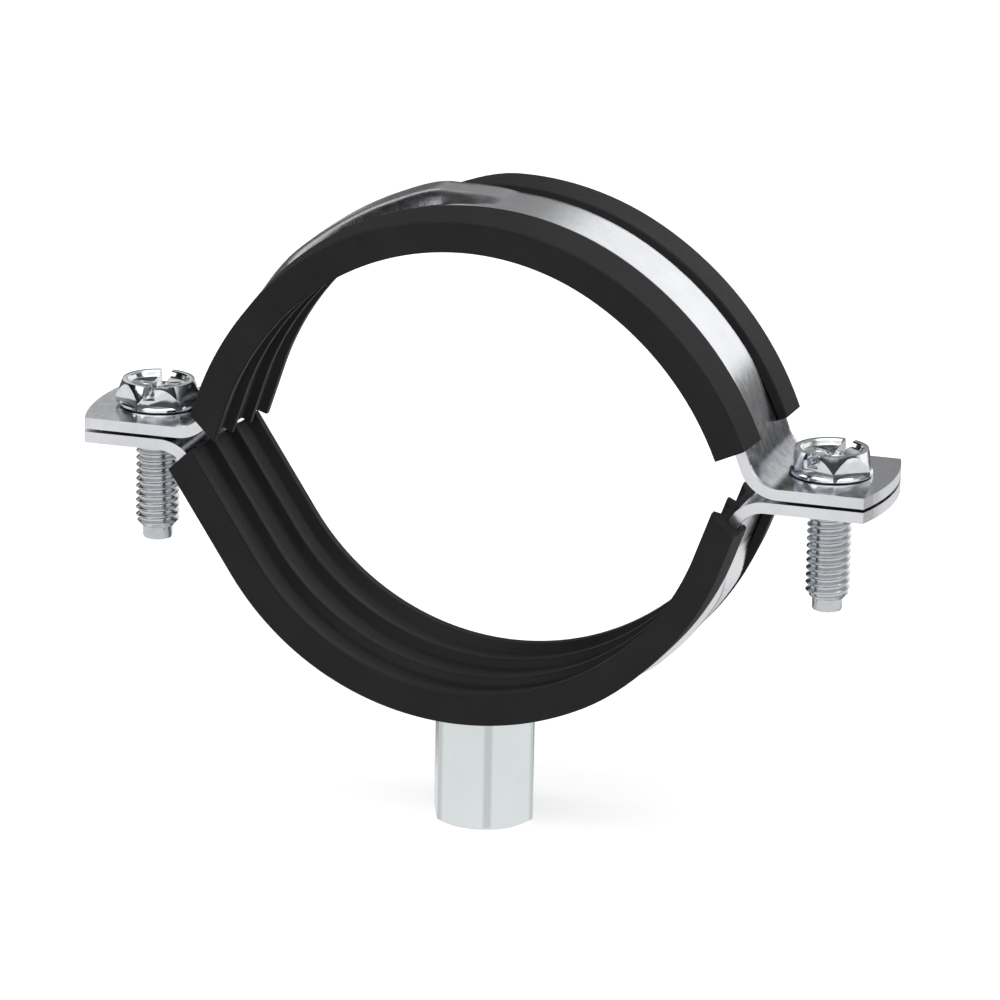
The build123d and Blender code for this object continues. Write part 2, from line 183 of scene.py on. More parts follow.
class Bench:
    """One mesh on the bench, shaped with Blender's own operators."""

    def __init__(self, name: str) -> None:
        """Start a piece as a single point at the origin.

        Args:
            name: Name of the object and of its mesh.
        """
        leave_edit()
        bpy.ops.mesh.primitive_plane_add(size=1.0, location=(0.0, 0.0, 0.0))
        self.obj = bpy.context.object
        self.obj.name = name
        self.obj.data.name = name
        self.point = Vector((0.0, 0.0, 0.0))
        self.heading = Vector((0.0, 0.0, 1.0))
        self.outward = Vector((1.0, 0.0, 0.0))
        bpy.ops.object.mode_set(mode="EDIT")
        bpy.ops.mesh.select_mode(type="VERT")
        bpy.ops.mesh.select_all(action="SELECT")
        bpy.ops.mesh.merge(type="CENTER")

    @classmethod
    def prism(
        cls, name: str, sides: int, radius: float, low: float, high: float, at: Pair, turn: float
    ) -> "Bench":
        """A standing prism or cylinder, used as a start or as a cutting tool.

        Args:
            name: Name of the object.
            sides: Number of sides.
            radius: Distance from the axis to a corner.
            low: Level of its foot.
            high: Level of its head.
            at: Place of its axis in plan.
            turn: Angle of one corner from +X, in degrees.

        Returns:
            The bench that holds it, in edit mode with all selected.
        """
        piece = cls(name)
        bpy.ops.mesh.delete(type="VERT")
        bpy.ops.mesh.primitive_circle_add(
            vertices=sides,
            radius=radius,
            fill_type="NGON",
            location=(at[0], at[1], low),
            rotation=(0.0, 0.0, math.radians(turn - 90.0)),
        )
        extrude((0.0, 0.0, high - low))
        bpy.ops.mesh.select_all(action="SELECT")
        bpy.ops.mesh.normals_make_consistent(inside=False)
        return piece

    def wake(self) -> None:
        """Make this piece the active one, in edit mode."""
        leave_edit()
        self.obj.select_set(True)
        bpy.context.view_layer.objects.active = self.obj
        bpy.ops.object.mode_set(mode="EDIT")
        bpy.ops.mesh.select_mode(type="VERT")

    def rest(self) -> None:
        """Make this piece the active one, in object mode."""
        leave_edit()
        self.obj.select_set(True)
        bpy.context.view_layer.objects.active = self.obj

    def select(self, wanted: Callable[[bmesh.types.BMVert], bool]) -> None:
        """Select the points that pass a test.

        Args:
            wanted: Test on a point.
        """
        mesh = bmesh.from_edit_mesh(self.obj.data)
        for vert in mesh.verts:
            vert.select = wanted(vert)
        mesh.select_flush_mode()
        bmesh.update_edit_mesh(self.obj.data)

    def pick(self, where: Place) -> None:
        """Select the points that lie where the rule says."""
        self.select(lambda vert: where(vert.co))

    def loop(self) -> list[int]:
        """Indices of the points that are selected now."""
        return [v.index for v in bmesh.from_edit_mesh(self.obj.data).verts if v.select]

    def pick_again(self, indices: Iterable[int], where: Place = anywhere) -> None:
        """Select points of a kept loop that also lie where the rule says."""
        kept = set(indices)
        self.select(lambda vert: vert.index in kept and where(vert.co))

    def draw(self, points: Sequence[Vector], closed: bool = True) -> None:
        """Draw an outline by extruding a point along it.

        Args:
            points: The corners of the outline, in order.
            closed: Whether the last corner joins the first.
        """
        bpy.ops.mesh.select_all(action="SELECT")
        bpy.ops.transform.translate(value=points[0])
        for before, after in zip(points, points[1:]):
            extrude(after - before)
        if closed:
            first, last = points[0], points[-1]
            self.pick(lambda co: (co - first).length < 1e-4 or (co - last).length < 1e-4)
            bpy.ops.mesh.edge_face_add()
        bpy.ops.mesh.select_all(action="SELECT")

    def push(self, length: float, steps: int = 1) -> None:
        """Extrude the open end straight on along the heading.

        Args:
            length: How far.
            steps: Number of stations.
        """
        for _ in range(steps):
            extrude(self.heading * (length / steps))
        self.point = self.point + self.heading * length

    def swing(self, centre: Vector, angle: float, steps: int) -> None:
        """Spin the open end about a centre on the heading's plane.

        Args:
            centre: Where the axis stands.
            angle: Degrees, positive from +X towards +Z.
            steps: Number of stations.
        """
        bpy.ops.mesh.spin(steps=steps, angle=math.radians(angle), center=centre, axis=(0.0, 1.0, 0.0))
        turn = Matrix.Rotation(-math.radians(angle), 3, "Y")
        self.point = centre + turn @ (self.point - centre)
        self.heading = turn @ self.heading
        self.outward = turn @ self.outward

    def shift_columns(
        self, rise: Callable[[float], float], where: Place = anywhere, way: Vector | None = None
    ) -> None:
        """Move the points of the open end, column by column.

        Args:
            rise: Distance for each place across the band.
            where: Which of the end's points may move.
            way: Direction in which they move, outwards if none is given.
        """
        kept = self.loop()
        mesh = bmesh.from_edit_mesh(self.obj.data)
        mesh.verts.ensure_lookup_table()
        places = [mesh.verts[i].co for i in kept]
        columns = sorted({round(co.y, 3) for co in places if where(co)})
        for column in columns:
            distance = rise(column)
            if abs(distance) < NO_WAY:
                continue
            self.pick_again(kept, lambda co: abs(co.y - column) < SAME_COLUMN and where(co))
            bpy.ops.transform.translate(value=(self.outward if way is None else way) * distance)
        self.pick_again(kept)

    def slice(self, place: Vector, waste: Vector) -> None:
        """Cut the whole piece by a plane, drop the waste side and close the cut."""
        bpy.ops.mesh.select_all(action="SELECT")
        bpy.ops.mesh.bisect(plane_co=place, plane_no=waste, use_fill=True, clear_outer=True)

    def close(self) -> None:
        """Close open ends, merge doubles and turn all faces outwards."""
        bpy.ops.mesh.select_all(action="SELECT")
        bpy.ops.mesh.remove_doubles(threshold=1e-4)
        bpy.ops.mesh.select_all(action="DESELECT")
        bpy.ops.mesh.select_mode(type="EDGE")
        bpy.ops.mesh.select_non_manifold()
        if any(e.select for e in bmesh.from_edit_mesh(self.obj.data).edges):
            bpy.ops.mesh.fill_holes(sides=0)
        bpy.ops.mesh.select_mode(type="VERT")
        bpy.ops.mesh.select_all(action="SELECT")
        bpy.ops.mesh.normals_make_consistent(inside=False)

    def work(self, name: str, kind: str, **settings: Any) -> None:
        """Put a modifier on the piece and apply it.

        Args:
            name: Name of the modifier.
            kind: Its type.
            settings: Its properties.
        """
        mod = self.obj.modifiers.new(name, kind)
        for key, value in settings.items():
            setattr(mod, key, value)
        bpy.ops.object.modifier_apply(modifier=mod.name)

    def use(self, tool: "Bench", cut: Cut) -> None:
        """Work a tool solid into this piece and put the tool away.

        Args:
            tool: The solid.
            cut: What it does to the piece.
        """
        for solid in (tool, self):
            solid.wake()
            solid.close()
        self.rest()
        self.work("cut", "BOOLEAN", operation=cut.value, object=tool.obj, solver="EXACT")
        bpy.data.objects.remove(tool.obj)

    def soften(self, width: float, segments: int, angle: float) -> None:
        """Round the edges that are sharper than an angle.

        Args:
            width: Width of the rounding.
            segments: Number of faces across it.
            angle: The angle in degrees.
        """
        self.rest()
        limit = {"limit_method": "ANGLE", "angle_limit": math.radians(angle)}
        self.work("soften", "BEVEL", width=width, segments=segments, use_clamp_overlap=True, **limit)

    def stand(self, turn: Triple, at: Triple) -> None:
        """Turn the piece, move it and go on in edit mode.

        Args:
            turn: Degrees about each axis.
            at: How far along each axis.
        """
        self.rest()
        self.obj.rotation_euler = [math.radians(angle) for angle in turn]
        self.obj.location = at
        bpy.ops.object.transform_apply(location=True, rotation=True, scale=False)
        self.wake()

    def take(self, others: Sequence["Bench"]) -> None:
        """Join other pieces into this one.

        Args:
            others: The pieces, which are used up.
        """
        self.rest()
        for other in others:
            other.obj.select_set(True)
        bpy.ops.object.join()

    def finish(
        self, smooth: float, body: str, slot: str, node: str, material: bpy.types.Material, flat: bool = True
    ) -> bpy.types.Object:
        """Bring the piece to metres, shade it, dress it and hand it to the frame.

        Args:
            smooth: Angle in degrees under which edges are shaded smooth.
            body: Body that carries it.
            slot: Material slot of the record; not used.
            node: Node of the frame that it stands for.
            material: Its finish.
            flat: Whether large faces keep their shading flat beside rounded edges.

        Returns:
            The finished object.
        """
        self.rest()
        self.obj.scale = (METRES, METRES, METRES)
        bpy.ops.object.transform_apply(location=False, rotation=False, scale=True)
        bpy.ops.object.shade_smooth_by_angle(angle=math.radians(smooth))
        if flat:
            self.work("flat", "WEIGHTED_NORMAL", keep_sharp=True)
        self.obj.data.materials.clear()
        self.obj.data.materials.append(material)
        for polygon in self.obj.data.polygons:
            polygon.material_index = 0
        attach(self.obj, body)
        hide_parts(node)
        return self.obj


def rounded(corners: Sequence[Triple], steps: int = 4) -> list[Pair]:
    """Round the corners of a closed outline.

    Args:
        corners: Two coordinates and a radius for each corner.
        steps: Number of chords in each rounded corner.

    Returns:
        The points of the rounded outline.
    """
    points: list[Pair] = []
    count = len(corners)
    for i, (x, y, radius) in enumerate(corners):
        here = Vector((x, y))
        back = Vector(corners[i - 1][:2]) - here
        ahead = Vector(corners[(i + 1) % count][:2]) - here
        if radius <= 0.0:
            points.append((x, y))
            continue
        half = back.angle(ahead) / 2
        if half > math.radians(88.0):
            points.append((x, y))
            continue
        reach = min(radius / math.tan(half), back.length * 0.49, ahead.length * 0.49)
        radius = reach * math.tan(half)
        start = here + back.normalized() * reach
        stop = here + ahead.normalized() * reach
        middle = here + (back.normalized() + ahead.normalized()).normalized() * (radius / math.sin(half))
        a, b = start - middle, stop - middle
        if radius < 1e-3 or a.length < 1e-4:
            points.append((x, y))
            continue
        sweep = a.angle_signed(b)
        for k in range(steps + 1):
            turn = Matrix.Rotation(-sweep * k / steps, 2)
            p = middle + turn @ a
            points.append((p.x, p.y))
    return points


class Socket:
    """A shader value that takes part in plain arithmetic."""

    def __init__(self, shop: "NodeShop", out: bpy.types.NodeSocket) -> None:
        """Keep the socket and the shop that makes its nodes."""
        self.shop = shop
        self.out = out

    def _math(self, operation: str, a: Any, b: Any) -> "Socket":
        """Add one Math node and return its value."""
        return self.shop.node("ShaderNodeMath", {"operation": operation}, {0: a, 1: b})

    def __add__(self, other: Any) -> "Socket":
        """Sum."""
        return self._math("ADD", self, other)

    def __radd__(self, other: Any) -> "Socket":
        """Sum, reflected."""
        return self._math("ADD", other, self)

    def __sub__(self, other: Any) -> "Socket":
        """Difference."""
        return self._math("SUBTRACT", self, other)

    def __rsub__(self, other: Any) -> "Socket":
        """Difference, reflected."""
        return self._math("SUBTRACT", other, self)

    def __mul__(self, other: Any) -> "Socket":
        """Product."""
        return self._math("MULTIPLY", self, other)

    def __rmul__(self, other: Any) -> "Socket":
        """Product, reflected."""
        return self._math("MULTIPLY", other, self)


class NodeShop:
    """Makes the nodes of one material or world."""

    def __init__(self, tree: bpy.types.NodeTree) -> None:
        """Clear the tree and keep it."""
        tree.nodes.clear()
        self.tree = tree

    @classmethod
    def start(cls, name: str) -> tuple[bpy.types.Material, "NodeShop"]:
        """Start an empty material, and the shop that fills it.

        Args:
            name: Name of the material.

        Returns:
            The material and its shop.
        """
        material = bpy.data.materials.new(name)
        material.use_nodes = True
        return material, cls(material.node_tree)

    def node(
        self,
        kind: str,
        settings: dict[str, Any] | None = None,
        inputs: dict[Any, Any] | None = None,
        output: int | str = 0,
    ) -> Socket:
        """Add a node.

        Args:
            kind: Node type.
            settings: Properties that are set first; "stops" gives a ramp's positions and colours.
            inputs: Value or link of each socket, by name or number.
            output: The socket that is handed back.

        Returns:
            The wanted output.
        """
        made = self.tree.nodes.new(kind)
        for key, value in (settings or {}).items():
            if key == "stops":
                ramp = made.color_ramp
                while len(ramp.elements) > 1:
                    ramp.elements.remove(ramp.elements[-1])
                ramp.elements[0].position, ramp.elements[0].color = value[0]
                for position, colour in value[1:]:
                    ramp.elements.new(position).color = colour
            else:
                setattr(made, key, value)
        for key, value in (inputs or {}).items():
            if isinstance(value, Socket):
                self.tree.links.new(value.out, made.inputs[key])
            else:
                made.inputs[key].default_value = value
        if not made.outputs:
            return Socket(self, made.inputs[0])
        return Socket(self, made.outputs[output])

    def place(self) -> Socket:
        """Where a point lies on its piece, in metres."""
        return self.node("ShaderNodeTexCoord", output="Object")

    def part(self, where: Socket, axis: str) -> Socket:
        """One coordinate of a place or of a direction."""
        return self.node("ShaderNodeSeparateXYZ", inputs={0: where}, output=axis)

    def vector(self, operation: str, a: Socket, b: Triple | None = None, output: int | str = 0) -> Socket:
        """Vector arithmetic on a link and, where the operation takes one, a constant."""
        inputs = {0: a} if b is None else {0: a, 1: b}
        return self.node("ShaderNodeVectorMath", {"operation": operation}, inputs, output)

    def noise(self, where: Socket, scale: float, detail: float, roughness: float = 0.5) -> Socket:
        """Smooth noise in space, about 0.5 on average."""
        inputs = {"Vector": where, "Scale": scale, "Detail": detail, "Roughness": roughness}
        return self.node("ShaderNodeTexNoise", inputs=inputs, output="Fac")

    def ramp(self, value: Socket, low: float, high: float, to_low: float, to_high: float) -> Socket:
        """Map a value linearly from one range to another, held at its ends."""
        inputs = {"Value": value, "From Min": low, "From Max": high, "To Min": to_low, "To Max": to_high}
        return self.node("ShaderNodeMapRange", {"clamp": True}, inputs)

    def tint(self, amount: Socket, first: Socket | Triple, second: Socket | Triple) -> Socket:
        """Mix two colours, each a link or its red, green and blue."""
        a, b = (end if isinstance(end, Socket) else (*end, 1.0) for end in (first, second))
        return self.node("ShaderNodeMix", {"data_type": "RGBA"}, {0: amount, 6: a, 7: b}, 2)

    def bump(self, height: Socket, strength: float, distance: float, under: Socket | None = None) -> Socket:
        """Normal that follows a height, on top of another normal if one is given.

        Args:
            height: The height.
            strength: Share of its effect.
            distance: Metres that a height of 1 stands for.
            under: The normal below it.

        Returns:
            The normal.
        """
        inputs: dict[str, Any] = {"Strength": strength, "Distance": distance, "Height": height}
        if under is not None:
            inputs["Normal"] = under
        return self.node("ShaderNodeBump", inputs=inputs)

    def cover(self, inputs: dict[str, Any]) -> None:
        """End the material in one surface shader."""
        shader = self.node("ShaderNodeBsdfPrincipled", inputs=inputs)
        self.node("ShaderNodeOutputMaterial", inputs={"Surface": shader})


@dataclass(frozen=True)
class Zinc:
    """Bright zinc plating on rolled or turned steel. Its lengths are metres."""

    name: str
    light: Triple
    dark: Triple
    smooth: float
    rough: float
    cloud: float = 180.0
    grain: float = 1400.0
    grain_height: float = 0.000004
    wave_height: float = 0.00003
    stretch: Triple = (1.0, 1.0, 1.0)
    # Dark colour mixed in for the duller zone low down and for the painted dark reflection on the corners.
    shade: Triple = (0.02, 0.03, 0.035)
    dull_below: float = -1.0
    dull_shade: float = 0.2
    dull_rough: float = 0.1
    # Distance from the upright axis where the painted dark reflection starts on the corners, and its share.
    dark_reflection_from: float = 1.0
    dark_reflection_share: float = 0.24
    bend: Triple | None = None
    hollow_tint: Triple = (0.10, 0.11, 0.13)

    def make(self) -> bpy.types.Material:
        """Build the material.

        Returns:
            The finished material.
        """
        material, shop = NodeShop.start(self.name)
        place = shop.place()
        along = shop.node("ShaderNodeMapping", inputs={"Vector": place, "Scale": self.stretch})
        clouds = shop.noise(place, self.cloud, 3.0)
        mottle = shop.noise(place, self.cloud * 4.0, 4.0, 0.6)
        grain = shop.noise(along, self.grain, 3.0, 0.6)
        tone = shop.ramp(clouds * 0.6 + mottle * 0.4, 0.3, 0.7, 0.0, 1.0)
        colour = shop.tint(tone, self.dark, self.light)
        rough = shop.ramp(mottle * 0.6 + grain * 0.4, 0.3, 0.7, self.smooth, self.rough)
        dull = shop.ramp(shop.part(place, "Z"), self.dull_below, self.dull_below - 0.0008, 0.0, 1.0)
        # Painted dark reflection: beyond a distance from the upright axis, along the boss's rounded corners,
        # the colour is darkened.
        reach = shop.vector("LENGTH", shop.vector("MULTIPLY", place, (1.0, 1.0, 0.0)), output="Value")
        corner = shop.ramp(reach, self.dark_reflection_from, self.dark_reflection_from + 0.0002, 0.0, 1.0)
        colour = shop.tint(dull * self.dull_shade + corner * self.dark_reflection_share, colour, self.shade)
        # A darker, bluer patch is tinted into the hollow of each bend, away from the strip's cut edges.
        if self.bend is not None:
            colour = shop.tint(self.hollow(shop, place, mottle), colour, self.hollow_tint)
        waves = shop.bump(mottle, 0.3, self.wave_height)
        grained = shop.bump(grain, 0.5, self.grain_height, waves)
        rough = rough + dull * self.dull_rough
        shop.cover({"Base Color": colour, "Metallic": 1.0, "Roughness": rough, "Normal": grained})
        return material

    def hollow(self, shop: NodeShop, place: Socket, mottle: Socket) -> Socket:
        """Share of darkening in the hollow of the bends.

        Args:
            shop: Where the material is made.
            place: Place on the piece.
            mottle: Noise that breaks up the outline of the darker patch.

        Returns:
            0 outside the patch and on the strip's cut edges, up to 0.9 within it.
        """
        x, z, reach = self.bend
        mirrored = shop.vector("ABSOLUTE", place)
        away = shop.vector("MULTIPLY", shop.vector("SUBTRACT", mirrored, (x, 0.0, z)), (1.0, 0.0, 1.0))
        far = shop.vector("LENGTH", away, output="Value")
        edge = shop.ramp(shop.part(mirrored, "Y"), 0.0092, 0.0097, 1.0, 0.0)
        return shop.ramp(far + mottle * 0.004, reach + 0.002, 0.002, 0.0, 0.9) * edge


@dataclass(frozen=True)
class Rubber:
    """Matte black moulded rubber with a fine skin. Its lengths are metres."""

    name: str
    dark: Triple = (0.0062, 0.0068, 0.0063)
    light: Triple = (0.0125, 0.0133, 0.0125)
    specular: float = 0.22
    ripple_height: float = 0.00012
    skin_height: float = 0.00002

    def make(self) -> bpy.types.Material:
        """Build the material.

        Returns:
            The finished material.
        """
        material, shop = NodeShop.start(self.name)
        place = shop.place()
        clouds = shop.noise(place, 120.0, 4.0, 0.6)
        skin = shop.noise(place, 2600.0, 3.0, 0.6)
        ripple = shop.noise(place, 420.0, 2.0)
        tone = shop.ramp(clouds * 0.7 + skin * 0.3, 0.35, 0.65, 0.0, 1.0)
        colour = shop.tint(tone, self.dark, self.light)
        rough = shop.ramp(skin * 0.5 + clouds * 0.5, 0.3, 0.7, 0.5, 0.66)
        normal = shop.bump(skin, 0.45, self.skin_height, shop.bump(ripple, 0.3, self.ripple_height))
        gloss = {"Roughness": rough, "Specular IOR Level": self.specular}
        shop.cover({"Base Color": colour, "Normal": normal, **gloss})
        return material


STRIP_ZINC = Zinc(
    "zinc_strip",
    light=(0.83, 0.84, 0.87),
    dark=(0.72, 0.73, 0.77),
    smooth=0.14,
    rough=0.27,
    wave_height=0.00006,
    bend=(0.0398, 0.0552, 0.0055),
)
BOSS_ZINC = Zinc(
    "zinc_boss",
    light=(0.84, 0.88, 0.89),
    dark=(0.79, 0.83, 0.84),
    smooth=0.24,
    rough=0.30,
    cloud=90.0,
    grain=900.0,
    grain_height=0.000001,
    wave_height=0.000004,
    stretch=(1.0, 1.0, 0.12),
    # Painted dark reflection along the hexagon's rounded corners.
    dark_reflection_from=0.00712,
)
SCREW_ZINC = Zinc(
    "zinc_screw",
    light=(0.84, 0.86, 0.88),
    dark=(0.66, 0.69, 0.71),
    smooth=0.07,
    rough=0.15,
    cloud=260.0,
    grain=1200.0,
    grain_height=0.000001,
    dull_below=0.0519,
)


class Finishes:
    """The finishes of the clamp, made once."""

    def __init__(self) -> None:
        """Make each material."""
        self.strip = STRIP_ZINC.make()
        self.boss = BOSS_ZINC.make()
        self.screw = SCREW_ZINC.make()
        self.rubber = Rubber("rubber").make()


@dataclass
class Lining:
    """One ribbed rubber lining with its two lips."""

    half: Half
    name: str
    node: str
    body: str
    ends: dict[int, Triple]
    width: float = 26.0
    floor: float = 1.0
    rib: float = 1.0
    spacing: float = 8.4
    middle: float = 0.9
    rib_foot: float = 1.5
    rib_top: float = 0.62
    wall_foot: float = 3.4
    wall_top: float = 1.6
    foot_round: float = 0.9
    tip_round: float = 0.42
    lip_edge: float = 6.3
    lip_side: float = 10.5
    front_lip: Pair = (2.95, 2.3)
    back_lip: Pair = (2.95, 2.3)
    strip: float = 1.5
    strip_width: float = 20.0
    play: float = 0.08
    thin: tuple[float, float, float, float] = (0.0, 0.0, 0.0, 0.0)
    thin_at_start: bool = False
    thin_spans: tuple[Triple, ...] = ()

    def thinning(self, y: float) -> float:
        """How much lower a lip stands at its thin end, at a place across the profile.

        Args:
            y: The place.

        Returns:
            How much lower, in millimetres.
        """
        front_edge, front_side, back_edge, back_side = self.thin
        edge, outer = (front_edge, front_side) if y < 0.0 else (back_edge, back_side)
        share = (abs(y) - self.lip_edge) / (self.width / 2 - self.lip_edge)
        return edge + (outer - edge) * share

    def on_lip(self, bench: Bench) -> Place:
        """Rule for the points on the lips' outer faces at the open end.

        Args:
            bench: The lining, with its end where it is looked at.

        Returns:
            The rule.
        """
        free, rise = self.lip_edge - 0.01, self.strip + 0.24

        def found(co: Vector) -> bool:
            """Whether a point lies high enough on its lip."""
            height = (co - bench.point).dot(bench.outward)
            return abs(co.y) > free and height > (1.0 if abs(co.y) > self.lip_side else rise)

        return found

    def thicken(self, share: float) -> Act:
        """Action that lets the lips grow by a share of what they lack."""
        return lambda bench: bench.shift_columns(lambda y: share * self.thinning(y), self.on_lip(bench))

    def half_section(self, lip: Pair) -> list[Triple]:
        """Corners and radii of one half of the profile, from its middle out to its lip.

        Args:
            lip: Tops of the lip at its free edge and at the profile's side.

        Returns:
            Place across, place outwards and radius of each corner.
        """
        half, rib, tip = self.width / 2, self.spacing / 2, -(self.floor + self.rib)
        groove, seat = self.strip_width / 2 + self.play, self.strip + self.play
        edge_top, side_top = lip
        return [
            (self.middle, -self.floor, 0.3),
            (rib - self.rib_foot, -self.floor, self.foot_round),
            (rib - self.rib_top, tip, self.tip_round),
            (rib + self.rib_top, tip, self.tip_round),
            (rib + self.rib_foot, -self.floor, self.foot_round),
            (half - self.wall_foot, -self.floor, self.foot_round),
            (half - self.wall_top, tip, self.tip_round),
            (half, tip, 0.3),
            (half, side_top, 0.35),
            (self.lip_edge, edge_top, 0.3),
            (self.lip_edge, seat, 0.12),
            (groove, seat, 0.0),
            (groove, -self.play, 0.0),
        ]

    def section(self) -> list[Pair]:
        """Outline of the profile, across the band and outwards from its inner face."""
        front = [(-y, v, r) for y, v, r in reversed(self.half_section(self.front_lip))]
        return rounded(self.half_section(self.back_lip) + front)

    def sweep(self) -> Bench:
        """Carry the profile from the right foot over the crown to the left foot.

        Returns:
            The swept profile, longer than the lining at both ends.
        """
        half = self.half
        side = half.side.value
        lean = math.radians(half.right.flank)
        across, up = half.flank_start(1)
        bench = Bench(self.name)
        bench.point = Vector((across + up * math.tan(lean), 0.0, half.centre))
        bench.heading = Vector((-math.sin(lean), 0.0, side * math.cos(lean)))
        bench.outward = Vector((math.cos(lean), 0.0, side * math.sin(lean)))
        bench.draw([bench.point + ACROSS * y + bench.outward * v for y, v in self.section()])
        stops: Stops = {}
        for start, end, sign in self.thin_spans:
            stops.update(fade(start, end, sign, self.thicken))
        if self.thin_at_start:
            self.thicken(-1.0)(bench)
        bench.push(half.flank_length(1, 0.0), 6)
        walk_crown(bench, half, stops)
        bench.push(half.flank_length(-1, 0.0), 6)
        return bench

    def cut_end(self, bench: Bench, right: int) -> None:
        """Cut one end to its slant.

        Args:
            bench: The swept profile.
            right: 1 for the right end and -1 for the left one.
        """
        level, slant, fall = self.ends[right]
        side, inside = self.half.side.value, self.half.radius - self.floor - self.rib
        tip = Vector((right * inside, 0.0, self.half.centre + side * level))
        rising = Vector((float(right), 0.0, side * math.tan(math.radians(slant))))
        backwards = Vector((0.0, 1.0, -math.tan(math.radians(fall))))
        waste = rising.cross(backwards)
        if waste.z * side > 0.0:
            waste = -waste
        bench.slice(tip, waste)

    def build(self, finishes: Finishes, tools: Sequence[Bench]) -> bpy.types.Object:
        """Model the lining.

        Args:
            finishes: The clamp's finishes.
            tools: Solids that are cut away from it.

        Returns:
            The finished object.
        """
        bench = self.sweep()
        self.cut_end(bench, 1)
        self.cut_end(bench, -1)
        for tool in tools:
            bench.use(tool, Cut.AWAY)
        bench.wake()
        bench.close()
        return bench.finish(32.0, self.body, "rubber", self.node, finishes.rubber)


def fade(start: float, end: float, sign: float, act: Callable[[float], Act], steps: int = 8) -> Stops:
    """Spread one change of a section smoothly over a stretch of the crown.

    Args:
        start: Angle at which it starts.
        end: Angle at which it is complete.
        sign: 1 to bring it in and -1 to take it back.
        act: Makes the action for a share of the change.
        steps: Number of stops.

    Returns:
        The action at each stop.
    """
    stops = {}
    for k in range(1, steps + 1):
        share = smooth_step(k / steps) - smooth_step((k - 1) / steps)
        stops[start + (end - start) * (k - 0.5) / steps] = act(sign * share)
    return stops


def walk_crown(bench: Bench, half: Half, stops: Stops) -> None:
    """Take the open end over the round part, from the right flank to the left one.

    Args:
        bench: The piece, with its end at the top of the right flank.
        half: The line to follow.
        stops: Angles from +X at which something is done to the open end.
    """
    right, left = half.right, half.left
    arcs = (
        (right.flank, right.opens, right.radius),
        (right.opens, 180.0 - left.opens, half.radius),
        (180.0 - left.opens, 180.0 - left.flank, left.radius),
    )
    for start, end, radius in arcs:
        centre = bench.point - bench.outward * radius
        angle = start
        for stop in sorted(at for at in stops if start < at < end) + [end]:
            turn = stop - angle
            if turn > 1e-6:
                bench.swing(centre, half.side.value * turn, max(1, round(turn / 2)))
            angle = stop
            if stop in stops:
                stops[stop](bench)


